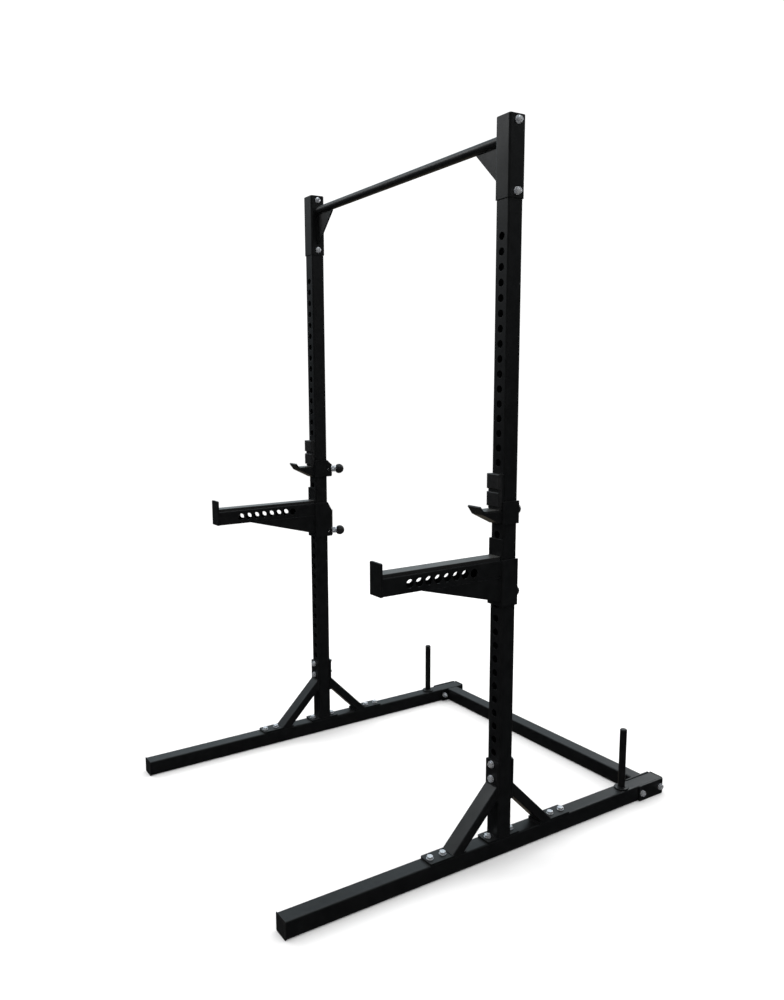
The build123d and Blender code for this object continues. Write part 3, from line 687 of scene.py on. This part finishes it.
def make_pull_pin(family, side):
    """Barrel with jam nut and fluted knob, along the joint's axis."""
    joint = next(j for j in frame["joints"] if j["name"] == f"{family}_pin_pull_{side}")
    axis = Vector(joint["axis"]).normalized()
    low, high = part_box(f"{family}_pin_knob_{side}")
    ball = Vector(((low.x + high.x) / 2, high.y - KNOB_R * MM, (low.z + high.z) / 2))
    origin = ball - axis * KNOB_WIDEST * MM

    knob = bmesh.new()
    rise = KNOB_END - KNOB_WIDEST
    start = math.asin((KNOB_START - KNOB_WIDEST) / rise)
    finish = math.radians(84)
    steps = 24
    profile = [(KNOB_BORE_R, KNOB_START)]
    for step in range(steps + 1):
        angle = start + (finish - start) * step / steps
        depth = FLUTE_DEPTH * max(0.0, 1 - (angle / FLUTE_REACH) ** 2)
        radius = knurled(KNOB_R * math.cos(angle), KNOB_FLUTES, depth)
        profile.append((radius, KNOB_WIDEST + rise * math.sin(angle)))
    profile += [(1.2, KNOB_END - 0.45), (0, KNOB_END - 0.5)]
    profile += [(0, 72.0), (3.0, 72.0), (3.0, KNOB_BORE_END), (KNOB_BORE_R, KNOB_BORE_END)]
    turned(knob, origin, axis, profile, segments=120, closed=True)
    piece(f"{family}_knob_detail_{side}", knob, MATERIALS["black_plastic"], joint["child"],
          [f"{family}_pin_knob_{side}"])

    barrel = bmesh.new()
    neck = threaded(NECK_R)
    grip = knurled(BARREL_R, BARREL_RIDGES, RIDGE_DEPTH)
    profile = [(NOSE_BORE_R, NECK_START), (NECK_R - 1.0, NECK_START)]
    profile += [(neck, t) for t in thread_steps(NECK_START + 1.0, BARREL_START)]
    profile += [(BARREL_R - 0.6, BARREL_START), (BARREL_R, BARREL_START + 0.6),
                (BARREL_R, BARREL_START + 3.0), (grip, BARREL_START + 3.4),
                (grip, BARREL_START + 12.0), (BARREL_R, BARREL_START + 12.4),
                (BARREL_R, BARREL_END - 1.0), (BARREL_R - 1.0, BARREL_END), (ROD_BORE_R, BARREL_END),
                (ROD_BORE_R, CHAMBER_END), (CHAMBER_R, CHAMBER_END), (CHAMBER_R, CHAMBER_START),
                (NOSE_BORE_R, CHAMBER_START)]
    turned(barrel, origin, axis, profile, segments=120, closed=True)
    start, end, flats = JAM_NUT
    corner = flats / math.sqrt(3)
    face_r = flats / 2 * RIM_SHARE
    full, chamfer = hexagonal(flats, corner), hexagonal(flats, corner - 0.8)
    nut = [(NECK_R - 0.3, start), (face_r, start), (chamfer, start + 0.6), (full, start + 1.2),
           (full, end - 1.2), (chamfer, end - 0.6), (face_r, end), (NECK_R - 0.3, end)]
    turned(barrel, origin, axis, nut, closed=True)
    piece(f"{family}_barrel_detail_{side}", barrel, MATERIALS["zinc"], joint["parent"],
          [f"{family}_pin_barrel_{side}"])


# ---- welds ---------------------------------------------------------------------------------------------
def bead(bm, path, first, second, radius=WELD_R):
    """Rippled fillet weld along a path. first(s) and second(s) are the normals of the two faces."""
    lengths = [0.0]
    for a, b in zip(path, path[1:]):
        lengths.append(lengths[-1] + (b - a).length / MM)
    rings = []
    for i, (point, s) in enumerate(zip(path, lengths)):
        ripple = (s / WELD_RIPPLE) % 1.0
        end = min(s, lengths[-1] - s)
        taper = min(1.0, 0.55 + 0.45 * end / (radius * 1.2))
        r = radius * taper * (0.86 + 0.20 * math.sin(math.pi * ripple) + 0.04 * math.sin(s * 0.9))
        a, b = first[i], second[i]
        ring = [point - (a + b) * 0.5 * MM]
        for step in range(7):
            angle = math.pi / 2 * step / 6
            bulge = 0.80 + 0.12 * math.sin(2 * angle)
            ring.append(point + (a * math.cos(angle) + b * math.sin(angle)) * r * bulge * MM)
        rings.append(ring)
    loft(bm, rings)


def straight_bead(bm, start, end, first, second, radius=WELD_R):
    """Bead between two points."""
    start, end = Vector(start), Vector(end)
    count = max(8, int((end - start).length / MM / 0.4))
    path = [start.lerp(end, i / count) for i in range(count + 1)]
    bead(bm, path, [Vector(first)] * len(path), [Vector(second)] * len(path), radius)


def round_bead(bm, centre, axis, circle_r, radius=WELD_R, start=0.0, sweep=360.0):
    """Bead round a bar that stands on a face whose normal is axis."""
    u, v = across(axis)
    count = int(math.radians(sweep) * circle_r / 0.4)
    path, spokes = [], []
    for i in range(count + 1):
        angle = math.radians(start + sweep * i / count)
        spoke = u * math.cos(angle) + v * math.sin(angle)
        spokes.append(spoke)
        path.append(centre + spoke * circle_r * MM)
    bead(bm, path, [axis] * len(path), spokes, radius)


def seam_along_x(bm, box, y, z, first, second, radius=WELD_R):
    """Bead across a post or plate, a little short of its corners."""
    low, high = box
    straight_bead(bm, (low.x + SEAM_INSET, y, z), (high.x - SEAM_INSET, y, z), first, second, radius)


def frame_welds():
    """Welds of the bar, gussets, base plates, braces, pegs and crossmember."""
    bm = bmesh.new()
    bar_low, bar_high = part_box("pull_up_bar")
    bar = (bar_low + bar_high) / 2
    gusset_low, gusset_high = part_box("bar_gussets")
    half = (gusset_high.y - gusset_low.y) / 2
    bar_r = (bar_high.z - bar_low.z) / 2
    for sign in SIDES.values():
        inward = X_AXIS * -sign
        face = Vector((bar_high.x * sign, bar.y, bar.z))
        round_bead(bm, face, inward, bar_r / MM, start=-150, sweep=300)
        for y in (-half, half):
            normal = Y_AXIS * math.copysign(1, y)
            seam = bar.z - math.sqrt(bar_r ** 2 - half ** 2)
            ends = [(sign * x, bar.y + y, seam) for x in GUSSET_SEAM_X]
            straight_bead(bm, *ends, normal, -Z_AXIS)
            straight_bead(bm, (face.x, bar.y + y, gusset_low.z + SEAM_INSET),
                          (face.x, bar.y + y, seam - 0.010), normal, inward)
    for side, sign in SIDES.items():
        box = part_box("upright_" + side)
        low, high = box
        for y, out in ((low.y, -Y_AXIS), (high.y, Y_AXIS)):
            seam_along_x(bm, box, y, low.z, Z_AXIS, out)
        middle_y = (low.y + high.y) / 2
        for direction in (-1, 1):
            out = Y_AXIS * direction
            head_y = middle_y + direction * HEAD_PLATE_Y * MM
            upper = BRACE_SUM - HEAD_PLATE_Y
            seam_along_x(bm, box, head_y, upper * MM, out, Z_AXIS)
            seam_along_x(bm, box, head_y, (upper - BRACE_CUT) * MM, out, -Z_AXIS)
            reach = BRACE_SUM - FOOT_PLATE_Z
            for distance, away in ((reach, out), (reach - BRACE_CUT, -out)):
                seam_along_x(bm, box, middle_y + direction * distance * MM, low.z, Z_AXIS, away)
        peg_low, peg_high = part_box("band_peg_" + side)
        foot = Vector(((peg_low.x + peg_high.x) / 2, (peg_low.y + peg_high.y) / 2, low.z - 0.001))
        round_bead(bm, foot, Z_AXIS, PEG_R, radius=2.2)
        cross_low, cross_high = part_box("rear_crossmember")
        face_x = cross_high.x * sign
        for y, out in ((cross_low.y, -Y_AXIS), (cross_high.y, Y_AXIS)):
            straight_bead(bm, (face_x, y, cross_low.z + 0.004), (face_x, y, cross_high.z - SEAM_INSET),
                          X_AXIS * -sign, out)
        straight_bead(bm, (face_x, cross_low.y + SEAM_INSET, cross_high.z),
                      (face_x, cross_high.y - SEAM_INSET, cross_high.z), X_AXIS * -sign, Z_AXIS, radius=1.0)
    piece("frame_welds", bm, MATERIALS["black_powder_coat"], "root", sharp=60)


def attachment_welds(side):
    """Welds of one J-cup and one spotter arm."""
    bm = bmesh.new()
    low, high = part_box("jcup_tongue_" + side)
    for x, out in ((low.x, -X_AXIS), (high.x, X_AXIS)):
        straight_bead(bm, (x, high.y, low.z + SEAM_INSET), (x, high.y, low.z + 0.034), -Y_AXIS, out)
    coat = MATERIALS["black_powder_coat"]
    piece("jcup_welds_" + side, bm, coat, "jcup_" + side, sharp=60)
    bm = bmesh.new()
    low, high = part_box("arm_beam_" + side)
    gusset_low, gusset_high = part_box("arm_gussets_" + side)
    for x, out in ((low.x, -X_AXIS), (high.x, X_AXIS)):
        straight_bead(bm, (x, high.y, gusset_low.z + SEAM_INSET), (x, high.y, high.z - 0.004), -Y_AXIS, out)
        inset = out * -2.0 * MM
        start = Vector((x, gusset_low.y + 0.012, low.z + 0.0008)) + inset
        end = Vector((x, high.y - 0.004, low.z + 0.0008)) + inset
        straight_bead(bm, start, end, out, Z_AXIS, radius=2.3)
    piece("arm_welds_" + side, bm, coat, "arm_" + side, sharp=60)


# ---- build -------------------------------------------------------------------------------------------------
MATERIALS = {"black_powder_coat": powder_coat(), "zinc": zinc(), "black_plastic": black_plastic(),
             "grey_liner": grey_liner(), "spring_steel": spring_steel(), "nylon": nylon()}

make_camera()
make_world()
make_floor()
area_light("key", (-3.2, -2.6, 4.2), (0, 0, 1.1), (2.0, 2.0), 45)
area_light("top", (0.5, 0.3, 5.0), (0, 0, 0), (3.0, 3.0), 30)
area_light("rim", (3.8, 2.2, 3.4), (0.4, 0, 1.2), (0.8, 1.6), 3)
area_light("back", (-0.8, 4.2, 2.6), (0, 0, 0.8), (2.4, 1.6), 45)

for entry in frame["record"]["subparts"]:
    node = frame["nodes"][entry["node"]]
    for index in range(len(node.material_slots)):
        node.material_slots[index].material = MATERIALS[entry["material_slot"]]
    node.data.shade_smooth()
    node.data.set_sharp_from_angle(angle=math.radians(SHARP_CAD_ANGLE))

make_bolts("sleeve_bolts", button_head)
make_bolts("through_bolts", hex_head)
make_bolts("leg_bolts", hex_head)
make_lock_nuts()
make_washers()
make_caps()
frame_welds()
for side_name in SIDES:
    attachment_welds(side_name)
    for family_name in ("jcup", "arm"):
        make_pull_pin(family_name, side_name)

bpy.context.scene.view_settings.view_transform = "Standard"
